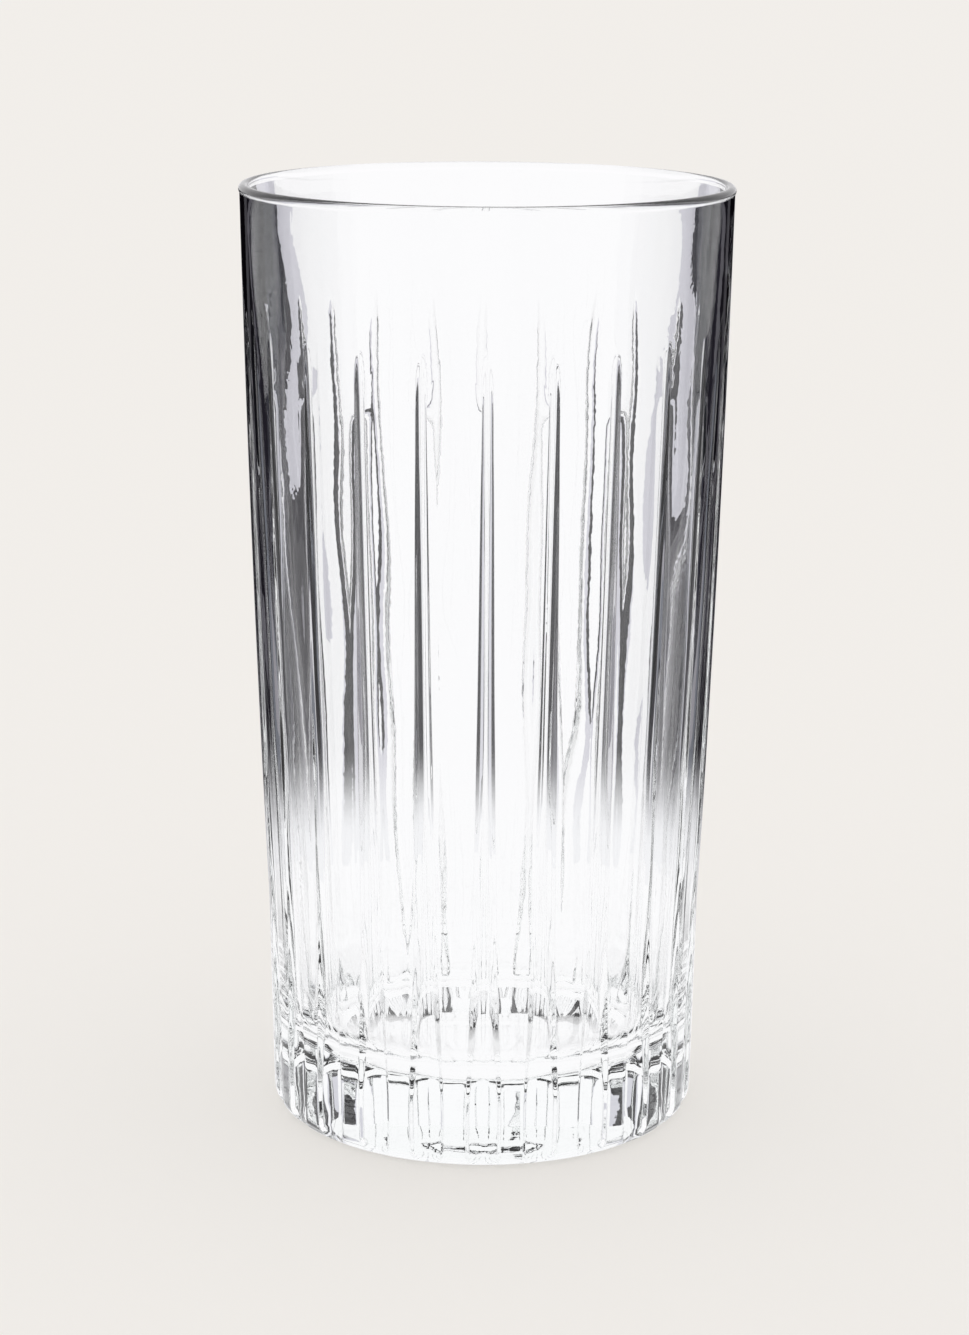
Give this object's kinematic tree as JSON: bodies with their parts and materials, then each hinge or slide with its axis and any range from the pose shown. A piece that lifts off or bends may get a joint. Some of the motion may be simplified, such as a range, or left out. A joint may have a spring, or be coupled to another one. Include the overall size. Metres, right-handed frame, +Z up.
{
  "type": "highball glass",
  "caption": "Tall tapering tumbler of clear pressed glass, with a thick floor, a rounded lip and upright grooves that widen towards the foot.",
  "frame": {"origin": "middle of the plane that the glass stands on", "axes": "+Z up along the axis of the glass, -Y towards the groove that faces the camera"},
  "size_m": [0.0772, 0.0772, 0.15],
  "materials": {
    "clear_glass": "clear, fire-polished"
  },
  "bodies": {
    "root": {"tumbler": "clear_glass"}
  },
  "joints": []
}
